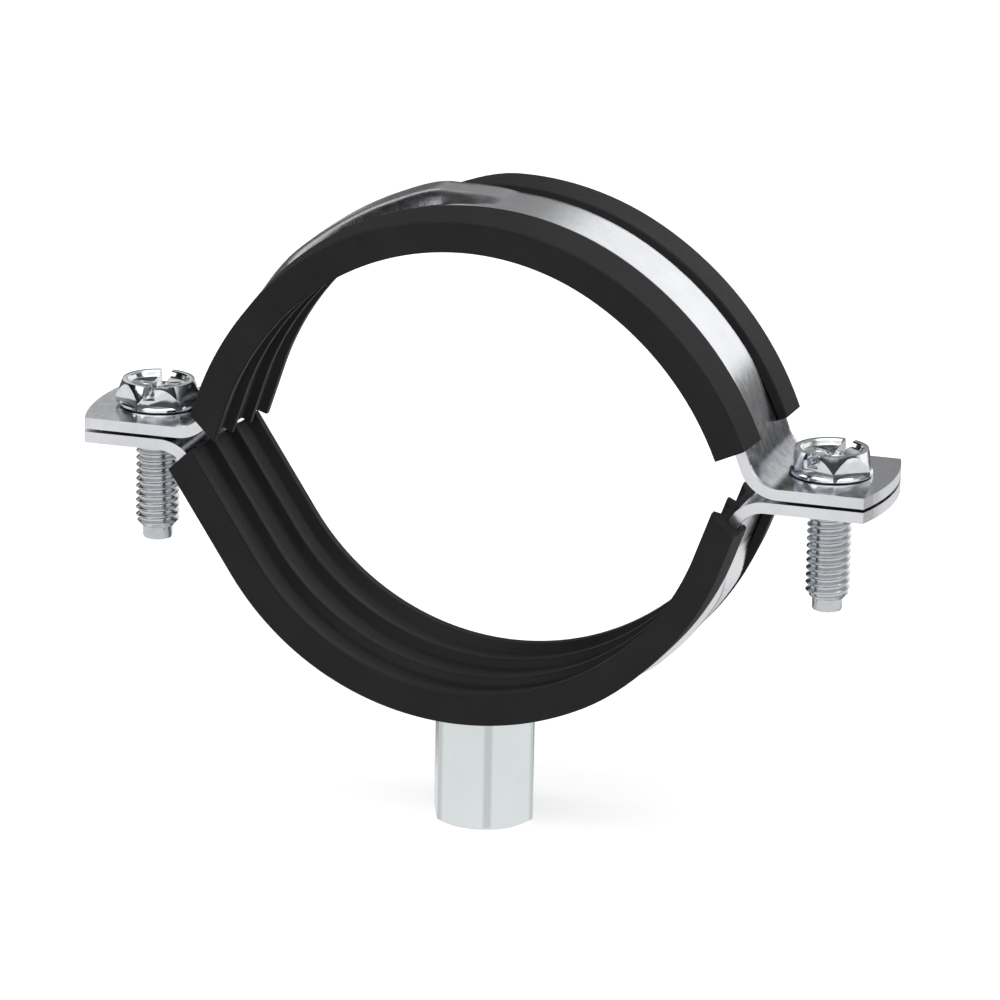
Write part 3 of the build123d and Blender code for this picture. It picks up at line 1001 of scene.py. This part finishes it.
@dataclass
class Band:
    """One bent steel strip with its two ears."""

    half: Half
    name: str
    node: str
    body: str
    hole: float
    bead: float = 0.0
    pad_line: tuple[Pair, ...] = ()
    width: float = 20.0
    thickness: float = 1.5
    screw_x: float = 47.2
    ear_tip: float = 8.5
    ear_corner: float = 7.0
    arris: float = 0.16
    bead_foot: float = 6.25
    bead_front: float = 0.5
    bead_back: float = 2.2
    pad_foot: float = 6.1
    pad_front: float = 4.0
    pad_back: float = 1.8
    bead_run: float = 16.0
    bead_spans: tuple[Triple, ...] = ()
    columns: tuple[float, ...] = (
        0.0, 1.6, 3.2, 4.3, 4.6, 4.9, 5.2, 5.5, 5.8, 5.95, 6.1, 6.25, 7.4, 8.8, 10.0
    )

    def bead_rise(self, y: float) -> float:
        """Height of the bead at a place across the band."""
        slope = self.bead_front if y < 0.0 else self.bead_back
        return self.bead * smooth_step((self.bead_foot - abs(y)) / slope)

    def pad_rise(self, height: float, y: float) -> float:
        """How far a pad of some height stands out of the bead at a place across the band."""
        slope = self.pad_front if y < 0.0 else self.pad_back
        return max(0.0, height * smooth_step((self.pad_foot - abs(y)) / slope) - self.bead_rise(y))

    def pad_height(self, angle: float) -> float:
        """Height of the pad's crest over the strip, on a smooth line through its stops.

        Args:
            angle: Degrees from +X.

        Returns:
            The height.
        """
        (first, low), (last, high) = self.pad_line[0], self.pad_line[-1]
        line = ((first - 1.0, low), *self.pad_line, (last + 1.0, high))
        for (a, ha), (b, hb), (c, hc), (d, hd) in zip(line, line[1:], line[2:], line[3:]):
            if angle <= c:
                span, rise = c - b, hc - hb
                leave, arrive = (hc - ha) / (c - a) * span, (hd - hb) / (d - b) * span
                x = (angle - b) / span
                square, cube = 3 * rise - 2 * leave - arrive, leave + arrive - 2 * rise
                return hb + leave * x + square * x ** 2 + cube * x ** 3
        return high

    def bulge(self, y: float) -> float:
        """How far the ear's rounded end falls back at a place across the band.

        Args:
            y: The place.

        Returns:
            The distance along the ear.
        """
        sagitta = self.ear_tip - self.ear_corner
        radius = (self.width ** 2 / 4 + sagitta ** 2) / (2 * sagitta)
        return radius - math.sqrt(radius ** 2 - y ** 2)

    def outline(self, grow: float) -> list[Pair]:
        """Section of the strip, grown on all sides.

        Args:
            grow: How far it is grown.

        Returns:
            Place across and place outwards of each corner.
        """
        scale = (self.width / 2 + grow) / (self.width / 2)
        ys = [-y * scale for y in reversed(self.columns)] + [y * scale for y in self.columns[1:]]
        top = [(y, self.thickness + grow) for y in ys]
        return top + [(y, -grow) for y in reversed(ys)]

    def on_top(self, bench: Bench) -> Place:
        """Rule for the points on the outer face at the open end."""
        return lambda co: (co - bench.point).dot(bench.outward) > self.thickness * 0.6

    def raise_by(self, bench: Bench, rise: Callable[[float], float]) -> None:
        """Lift the outer face at the open end."""
        bench.shift_columns(rise, self.on_top(bench))

    def stops(self) -> Stops:
        """What happens to the outer face on its way over the crown.

        Returns:
            The action at each stop.
        """
        start, end = self.half.right.flank, 180.0 - self.half.left.flank
        stops = fade(start, start + self.bead_run, 1.0, self.swell)
        stops.update(fade(end - self.bead_run, end, -1.0, self.swell))
        for start, end, sign in self.bead_spans:
            stops.update(fade(start, end, sign, self.swell))
        if self.pad_line:
            first, last = self.pad_line[0][0], self.pad_line[-1][0]
            count = round(last - first)
            angles = [first + (last - first) * k / count for k in range(count + 1)]
            for start, end in zip(angles, angles[1:]):
                stops[(start + end) / 2] = self.lift(self.pad_height(start), self.pad_height(end))
        return stops

    def swell(self, share: float) -> Act:
        """Action that raises the outer face by a share of the bead."""
        return lambda bench: self.raise_by(bench, lambda y: share * self.bead_rise(y))

    def lift(self, before: float, after: float) -> Act:
        """Action that takes the pad from one height to another."""

        def rise(y: float) -> float:
            """How far the pad grows at a place across the band."""
            return self.pad_rise(after, y) - self.pad_rise(before, y)

        return lambda bench: self.raise_by(bench, rise)

    def sweep(self, name: str, grow: float) -> Bench:
        """Carry the section from the right ear over the crown to the left ear.

        Args:
            name: Name of the piece.
            grow: How much larger than the strip it is, for a room in a lining.

        Returns:
            The swept strip, its ends still open.
        """
        half = self.half
        side = half.side.value
        tip = self.screw_x + self.ear_tip
        shaped = grow == 0.0
        bench = Bench(name)
        bench.point = Vector((tip, 0.0, half.centre + side * half.ear_level))
        bench.heading = Vector((-1.0, 0.0, 0.0))
        bench.outward = Vector((0.0, 0.0, float(side)))
        back = self.bulge if shaped else (lambda y: 0.0)
        corners = self.outline(grow)
        bench.draw([bench.point + ACROSS * y + bench.outward * v - TO_RIGHT * back(y) for y, v in corners])
        bench.push(tip - half.bend_end(1), 1)
        if shaped:
            bench.shift_columns(self.bulge, way=TO_RIGHT)
        bench.swing(bench.point + bench.outward * half.bend, -side * (90.0 - half.right.flank), 14)
        bench.push(half.to_bend(1), 3)
        walk_crown(bench, half, self.stops() if shaped else {})
        bench.push(half.to_bend(-1), 3)
        bench.swing(bench.point + bench.outward * half.bend, -side * (90.0 - half.left.flank), 14)
        bench.push(tip - half.bend_end(-1), 1)
        if shaped:
            bench.shift_columns(self.bulge, way=TO_RIGHT)
        return bench

    def room(self, name: str) -> Bench:
        """The room that the strip takes in its lining."""
        return self.sweep(name, 0.04)

    def build(self, finishes: Finishes) -> bpy.types.Object:
        """Model the band.

        Args:
            finishes: The clamp's finishes.

        Returns:
            The finished object.
        """
        bench = self.sweep(self.name, 0.0)
        level = self.half.centre + self.half.side.value * self.half.ear_level
        for right in (-1, 1):
            at = (right * self.screw_x, 0.0)
            drill = Bench.prism("drill", 64, self.hole, level - 6.0, level + 6.0, at, 0.0)
            bench.use(drill, Cut.AWAY)
        bench.wake()
        bench.close()
        bench.soften(self.arris, 2, 48.0)
        return bench.finish(30.0, self.body, "zinc_strip", self.node, finishes.strip)


def smooth_step(x: float) -> float:
    """Smooth rise from 0 to 1."""
    x = min(1.0, max(0.0, x))
    return x * x * (3.0 - 2.0 * x)


def lathe(name: str, at: Pair, profile: Sequence[Pair], steps: int = 72) -> Bench:
    """Turn a closed profile about an upright axis.

    Args:
        name: Name of the piece.
        at: Place of the axis in plan.
        profile: Radius and level of each corner, the first and last on the axis.
        steps: Number of stations.

    Returns:
        The turned piece.
    """
    bench = Bench(name)
    bench.draw([Vector((at[0] + r, at[1], z)) for r, z in profile], closed=False)
    bpy.ops.mesh.spin(steps=steps, angle=math.tau, center=(at[0], at[1], 0.0), axis=(0.0, 0.0, 1.0))
    bench.close()
    return bench


@dataclass
class Screw:
    """A hexagon flange screw with slot, cross recess, rolled thread and pilot."""

    name: str
    node: str
    body: str
    x: float
    slot_angle: float
    hex_angle: float
    thread_turn: float
    seat: float = 53.425
    length: float = 17.0
    crest: float = 2.98
    root: float = 2.46
    pitch: float = 1.0
    pilot: float = 2.05
    pilot_length: float = 1.8
    flange: float = 5.55
    flange_thickness: float = 0.8
    bearing: float = 4.6
    head: float = 3.6
    across_flats: float = 10.0
    rim: float = 4.9
    rim_width: float = 0.7
    corner_drop: float = 2.3

    def head_piece(self) -> Bench:
        """Hexagon with its turned cone, dished top, slot and cross recess.

        Returns:
            The head, without its flange.
        """
        at = (self.x, 0.0)
        corner = self.across_flats / 2 / math.cos(math.pi / 6)
        top = self.seat + self.head
        low = self.seat + self.flange_thickness * 0.4
        piece = Bench.prism("head_" + self.name, 6, corner, low, top + 1.0, at, self.hex_angle)
        cone = self.corner_drop / (corner - self.rim)
        foot = self.rim + (top - low + 0.5) / cone
        dish = self.rim - self.rim_width
        cone_and_dish = [
            (0.0, low - 0.5),
            (foot, low - 0.5),
            (self.rim, top),
            (dish, top),
            (dish - 0.22, top - 0.16),
            (dish - 0.45, top - 0.6),
            (0.0, top - 0.75),
        ]
        piece.use(lathe("turned", at, cone_and_dish), Cut.COMMON)
        piece.use(self.groove("slot", top, 14.0, 1.7, 1.8, self.slot_angle), Cut.AWAY)
        piece.use(self.groove("cross_a", top, 5.6, 1.15, 2.7, self.slot_angle), Cut.AWAY)
        piece.use(self.groove("cross_b", top, 5.6, 1.15, 2.7, self.slot_angle + 90.0), Cut.AWAY)
        piece.wake()
        piece.close()
        piece.soften(0.13, 3, 24.0)
        return piece

    def groove(self, name: str, top: float, length: float, width: float, depth: float, angle: float) -> Bench:
        """Tool for a straight groove across the head, a little narrower at its bottom.

        Args:
            name: Name of the tool.
            top: Level of the head's top.
            length: Length of the groove.
            width: Its width at the top.
            depth: Its depth.
            angle: Its direction from +X, in degrees.

        Returns:
            The tool.
        """
        tool = Bench.prism(name, 4, math.sqrt(0.5), 0.0, 1.0, (0.0, 0.0), 45.0)
        bpy.ops.mesh.select_all(action="SELECT")
        bpy.ops.transform.resize(value=(length, width, depth + 1.0), center_override=(0.0, 0.0, 0.0))
        bpy.ops.transform.translate(value=(0.0, 0.0, top - depth))
        tool.pick(lambda co: co.z < top - depth + 0.01)
        bpy.ops.transform.resize(value=(0.97, 0.88, 1.0), center_override=(0.0, 0.0, 0.0))
        tool.stand((0.0, 0.0, angle), (self.x, 0.0, 0.0))
        return tool

    def flange_piece(self) -> Bench:
        """Round flange under the hexagon, with a soft edge.

        Returns:
            The flange.
        """
        s, t, r = self.seat, self.flange_thickness, self.flange
        profile = [
            (0.0, s),
            (self.bearing, s),
            (r - 0.12, s + 0.14),
            (r, s + 0.3),
            (r - 0.05, s + t - 0.22),
            (r - 0.25, s + t - 0.03),
            (r - 0.55, s + t + 0.02),
            (4.2, s + t + 0.12),
            (0.0, s + t + 0.12),
        ]
        return lathe("flange_" + self.name, (self.x, 0.0), profile)

    def thread_piece(self) -> Bench:
        """Rolled thread, chamfered at its end.

        Returns:
            The threaded shank.
        """
        low = self.seat - self.length
        bench = Bench("thread_" + self.name)
        p, crest, root = self.pitch, self.crest, self.root
        flank = [(root, 0.0), (root + 0.02, 0.13 * p), (crest - 0.08, 0.36 * p), (crest, 0.45 * p)]
        chain = flank + [(r, p - z) for r, z in reversed(flank)]
        bench.draw([Vector((r, 0.0, z)) for r, z in chain], closed=False)
        bench.rest()
        turns = {"axis": "Z", "screw_offset": p, "iterations": math.ceil(self.length / p) + 3}
        merge = {"use_merge_vertices": True, "merge_threshold": 1e-3}
        bench.work("turns", "SCREW", steps=40, render_steps=40, **turns, **merge)
        bench.stand((0.0, 0.0, self.thread_turn), (self.x, 0.0, low - 1.5 * p))
        bpy.ops.mesh.select_all(action="SELECT")
        bpy.ops.mesh.remove_doubles(threshold=1e-3)
        bench.slice(Vector((0.0, 0.0, low)), Vector((0.0, 0.0, -1.0)))
        bench.slice(Vector((0.0, 0.0, self.seat + 0.3)), Vector((0.0, 0.0, 1.0)))
        bench.close()
        core, over, high = root - 0.25, crest + 0.12, self.seat + 1.0
        foot = [(0.0, low - 0.5), (core, low - 0.5), (core, low)]
        cone = foot + [(over, low + 0.95), (over, high), (0.0, high)]
        bench.use(lathe("point", (self.x, 0.0), cone, 48), Cut.COMMON)
        return bench

    def pilot_piece(self) -> Bench:
        """Plain pilot below the thread.

        Returns:
            The pilot.
        """
        low = self.seat - self.length
        end = low - self.pilot_length
        r = self.pilot
        tip = [(0.0, end), (r - 0.42, end), (r - 0.14, end + 0.1), (r - 0.02, end + 0.36)]
        profile = tip + [(r, low + 0.6), (0.0, low + 0.6)]
        return lathe("pilot_" + self.name, (self.x, 0.0), profile, 48)

    def build(self, finishes: Finishes) -> bpy.types.Object:
        """Model the screw.

        Args:
            finishes: The clamp's finishes.

        Returns:
            The finished object.
        """
        head = self.head_piece()
        parts = [self.flange_piece(), self.thread_piece(), self.pilot_piece()]
        head.take(parts)
        head.obj.name = self.name
        return head.finish(34.0, self.body, "zinc_screw", self.node, finishes.screw, flat=False)


@dataclass
class Boss:
    """Hexagonal threaded boss under the lower band."""

    name: str = "hexagon_boss"
    length: float = 17.8
    across_flats: float = 13.0
    turn: float = -9.2
    face: float = 6.2
    bore: float = 3.45
    bore_depth: float = 15.0
    spare: float = 1.5
    seat: float = 37.6
    room: float = 0.2

    def corner(self) -> float:
        """Distance from the axis to a corner of the hexagon."""
        return self.across_flats / 2 / math.cos(math.pi / 6)

    def notch(self) -> Bench:
        """Tool that parts the lips of the lower lining round the boss."""
        top = self.length + self.spare
        return Bench.prism("notch", 6, self.corner() + self.room, 0.0, top, (0.0, 0.0), self.turn)

    def build(self, finishes: Finishes) -> bpy.types.Object:
        """Model the boss.

        Args:
            finishes: The clamp's finishes.

        Returns:
            The finished object.
        """
        top = self.length + self.spare
        piece = Bench.prism(self.name, 6, self.corner(), 0.0, top, (0.0, 0.0), self.turn)
        self.round_arrises(piece)
        rise, wide = math.tan(math.radians(30.0)), self.face + 3.0
        chamfer = [(0.0, 0.0), (self.face, 0.0), (wide, 3.0 * rise), (wide, 25.0), (0.0, 25.0)]
        piece.use(lathe("turned", (0.0, 0.0), chamfer), Cut.COMMON)
        seat = [(0.0, -12.0), (self.seat, -12.0), (self.seat, 12.0), (0.0, 12.0)]
        saddle = lathe("saddle", (0.0, 0.0), seat, 240)
        saddle.stand((90.0, 0.0, 0.0), (0.0, 0.0, LOWER.centre))
        piece.use(saddle, Cut.AWAY)
        mouth = [(0.0, -1.0), (5.1, -1.0), (4.1, 0.05), (self.bore, 0.7)]
        hole = mouth + [(self.bore, self.bore_depth - 1.6), (0.0, self.bore_depth)]
        piece.use(lathe("hole", (0.0, 0.0), hole, 64), Cut.AWAY)
        piece.wake()
        piece.close()
        piece.soften(0.1, 2, 25.0)
        return piece.finish(30.0, "lower_half", "zinc_boss", "boss", finishes.boss)

    def round_arrises(self, piece: Bench) -> None:
        """Round the six upright edges, as on drawn bar.

        Args:
            piece: The hexagon, in edit mode.
        """
        mesh = bmesh.from_edit_mesh(piece.obj.data)
        for edge in mesh.edges:
            a, b = edge.verts
            edge.select = abs(a.co.z - b.co.z) > 1.0
        bmesh.update_edit_mesh(piece.obj.data)
        bpy.ops.mesh.bevel(offset=0.35, segments=4, affect="EDGES")


class Studio:
    """Floor, lights, surroundings and camera."""

    AZIMUTH = 16.763
    ELEVATION = 16.613
    ROLL = 1.116
    DISTANCE = 1.0
    LENS = 264.456
    PAN, LIFT = 0.002284, 0.04288
    PAPER = 0.62
    GLOW = 0.66
    FLOOR = 0.87
    BACK_LEFT = (
        (0.0, 0.12),
        (0.485, 0.12),
        (0.53, 0.08),
        (0.60, 0.08),
        (0.625, 0.28),
        (0.67, 0.34),
        (0.71, 0.07),
        (0.90, 0.08),
        (0.95, 0.9),
    )
    BACK_RIGHT = ((0.0, 1.0), (0.70, 1.0), (0.75, 0.4), (0.90, 0.3), (0.95, 1.0))
    FRONT = ((0.0, 0.95), (0.55, 0.95), (0.60, 0.05), (0.77, 0.05), (0.83, 0.9), (1.0, 1.0))

    def floor(self) -> None:
        """Lay a plain white floor that keeps the clamp's shadow and darkens in the metal's mirror."""
        bpy.ops.object.select_all(action="DESELECT")
        bpy.ops.mesh.primitive_plane_add(size=12.0, location=(0.0, 0.0, 0.0))
        plane = bpy.context.object
        plane.name = "studio_floor"
        material, shop = NodeShop.start("studio_floor")
        seen = shop.node("ShaderNodeLightPath", output="Is Camera Ray")
        glossy = shop.node("ShaderNodeLightPath", output="Is Glossy Ray")
        place = shop.place()
        across, depth = shop.part(place, "X"), shop.part(place, "Y")
        paper = shop.node("ShaderNodeBsdfDiffuse", inputs={"Color": (*[self.PAPER] * 3, 1.0)})
        glow = self.shine(shop, seen * self.GLOW)
        near = shop.ramp(depth, 0.012, 0.04, 0.0, 1.0) * shop.ramp(depth, 0.085, 0.065, 0.0, 1.0)
        near = near * shop.ramp(across * across, 0.0085, 0.0055, 0.0, 1.0)
        right = shop.ramp(across, 0.06, 0.16, 0.0, 0.72)
        left = shop.ramp(across, -0.15, -0.35, 0.0, 0.76)
        far = shop.ramp(depth, 0.12, 0.3, 0.0, 1.0) * (right + left)
        both = shop.node("ShaderNodeAddShader", inputs={0: paper, 1: glow})
        mirrored = self.shine(shop, self.FLOOR - near * 0.72 - far)
        surface = shop.node("ShaderNodeMixShader", inputs={0: glossy, 1: both, 2: mirrored})
        shop.node("ShaderNodeOutputMaterial", inputs={"Surface": surface})
        plane.data.materials.append(material)

    def shine(self, shop: NodeShop, level: Socket) -> Socket:
        """White light of a level."""
        return shop.node("ShaderNodeEmission", inputs={"Color": level, "Strength": 1.0})

    def surroundings(self) -> None:
        """Light the room evenly and give the metal a studio to mirror."""
        world = bpy.data.worlds.new("studio")
        bpy.context.scene.world = world
        world.use_nodes = True
        shop = NodeShop(world.node_tree)
        way = shop.node("ShaderNodeTexCoord", output="Generated")
        x, y, z = (shop.part(way, axis) for axis in "XYZ")
        height = z * 0.5 + 0.5
        left, right, front = (
            self.profile(shop, height, wall) for wall in (self.BACK_LEFT, self.BACK_RIGHT, self.FRONT)
        )
        to_right = shop.ramp(x, -0.16, -0.02, 0.0, 1.0)
        to_front = shop.ramp(y, 0.35, 0.0, 0.0, 1.0)
        back = left * (1.0 - to_right) + right * to_right
        horizon = shop.ramp(x, 0.2, 0.32, 0.0, 0.85) * shop.ramp(z, 0.12, 0.03, 0.0, 1.0)
        panel = shop.ramp(z, 0.22, 0.27, 0.0, 1.0) * shop.ramp(z, 0.42, 0.36, 0.0, 1.0)
        back = back * (1.0 - horizon) + shop.ramp(x, -0.28, -0.32, 0.0, 0.35) * panel
        front = front * shop.ramp(x, -0.5, -0.25, 0.12, 1.0)
        upper_left = shop.ramp(x, -0.18, -0.36, 0.0, 0.88) * shop.ramp(z, 0.36, 0.46, 0.0, 1.0)
        mirrored = (back * (1.0 - to_front) + front * to_front) * (1.15 - upper_left)
        soft = shop.ramp(y, 0.5, -0.8, 0.15, 1.25)
        glossy = shop.node("ShaderNodeLightPath", output="Is Glossy Ray")
        camera = shop.node("ShaderNodeLightPath", output="Is Camera Ray")
        level = glossy * mirrored + (1.0 - glossy) * soft
        level = camera + (1.0 - camera) * level
        shade = shop.node("ShaderNodeBackground", inputs={"Color": level, "Strength": 1.0})
        shop.node("ShaderNodeOutputWorld", inputs={"Surface": shade})

    def profile(self, shop: NodeShop, height: Socket, stops: Sequence[Pair]) -> Socket:
        """Brightness of a wall of the room from the floor's side (0) to straight up (1)."""
        greys = [(at, (level, level, level, 1.0)) for at, level in stops]
        return shop.node("ShaderNodeValToRGB", {"stops": greys}, {"Fac": height})

    def lamp(self, name: str, place: Vector, aim: Vector, size: float, power: float) -> None:
        """Hang a square soft light.

        Args:
            name: Name of the light.
            place: Where it hangs.
            aim: What it points at.
            size: Its side in metres.
            power: Its power in watts.
        """
        data = bpy.data.lights.new(name, "AREA")
        data.shape = "SQUARE"
        data.size = size
        data.energy = power
        lamp = bpy.data.objects.new(name, data)
        bpy.context.scene.collection.objects.link(lamp)
        lamp.location = place
        lamp.rotation_euler = (aim - place).to_track_quat("-Z", "Y").to_euler()

    def camera(self) -> None:
        """Stand the camera where the photograph was taken."""
        a, e, roll = map(math.radians, (self.AZIMUTH, self.ELEVATION, self.ROLL))
        right = Vector((math.cos(a), math.sin(a), 0.0))
        back = Vector((math.sin(a) * math.cos(e), -math.cos(a) * math.cos(e), math.sin(e)))
        up = back.cross(right)
        r = right * math.cos(roll) + up * math.sin(roll)
        u = up * math.cos(roll) - right * math.sin(roll)
        data = bpy.data.cameras.new("camera")
        data.sensor_width = 36.0
        data.lens = self.LENS
        data.clip_start, data.clip_end = 0.05, 50.0
        camera = bpy.data.objects.new("camera", data)
        bpy.context.scene.collection.objects.link(camera)
        place = back * self.DISTANCE + r * self.PAN + u * self.LIFT
        camera.matrix_world = Matrix.Translation(place) @ Matrix((r, u, back)).transposed().to_4x4()
        bpy.context.scene.camera = camera

    def build(self) -> None:
        """Set the whole studio."""
        scene = bpy.context.scene
        scene.view_settings.view_transform = "Standard"
        self.camera()
        self.floor()
        self.surroundings()
        middle = Vector((0.0, 0.0, 0.045))
        self.lamp("soft_left", Vector((-0.9, -0.9, 1.1)), middle, 0.9, 5.0)
        self.lamp("soft_top", Vector((0.15, -0.1, 1.4)), middle, 1.5, 8.0)


def main() -> None:
    """Build the clamp piece by piece and set the studio."""
    logging.basicConfig(level=logging.INFO, format="%(name)s: %(message)s")
    finishes = Finishes()
    upper_band = Band(
        UPPER, "bent_band_upper", "upper_band", "upper_half", CLEARANCE_HOLE, bead=1.1, pad_line=PAD_LINE
    )
    lower_band = Band(
        LOWER,
        "bent_band_lower",
        "lower_band",
        "lower_half",
        TAPPED_HOLE,
        bead=1.35,
        bead_run=11.0,
        bead_spans=((50.0, 66.0, -1.0), (114.0, 130.0, 1.0)),
    )
    upper_lining = Lining(
        UPPER,
        "ribbed_lining_upper",
        "upper_lining",
        "upper_half",
        {1: (8.5, 24.0, 2.0), -1: (2.3, 50.0, 8.3)},
        back_lip=(2.9, 2.9),
        thin=(0.0, 0.0, 0.7, 1.3),
        thin_spans=((92.0, 110.0, -1.0), (140.0, 156.0, 1.0)),
    )
    lower_lining = Lining(
        LOWER,
        "ribbed_lining_lower",
        "lower_lining",
        "lower_half",
        {1: (5.5, 45.0, 2.0), -1: (1.2, 44.0, 4.3)},
        thin=(0.75, 0.35, 0.0, 0.0),
        thin_at_start=True,
        thin_spans=((44.0, 64.0, 1.0),),
    )
    boss = Boss()
    notch = boss.notch()
    made = [
        upper_band.build(finishes),
        lower_band.build(finishes),
        upper_lining.build(finishes, [upper_band.room("room_upper")]),
        lower_lining.build(finishes, [lower_band.room("room_lower"), notch]),
        boss.build(finishes),
        Screw("flange_screw_left", "left_screw", "left_screw", -47.2, 95.0, 20.0, 40.0).build(finishes),
        Screw("flange_screw_right", "right_screw", "right_screw", 47.2, 74.0, -13.0, 200.0).build(finishes),
    ]
    for piece in made:
        LOG.info("%s: %d faces", piece.name, len(piece.data.polygons))
    Studio().build()


if __name__ == "__main__":
    main()
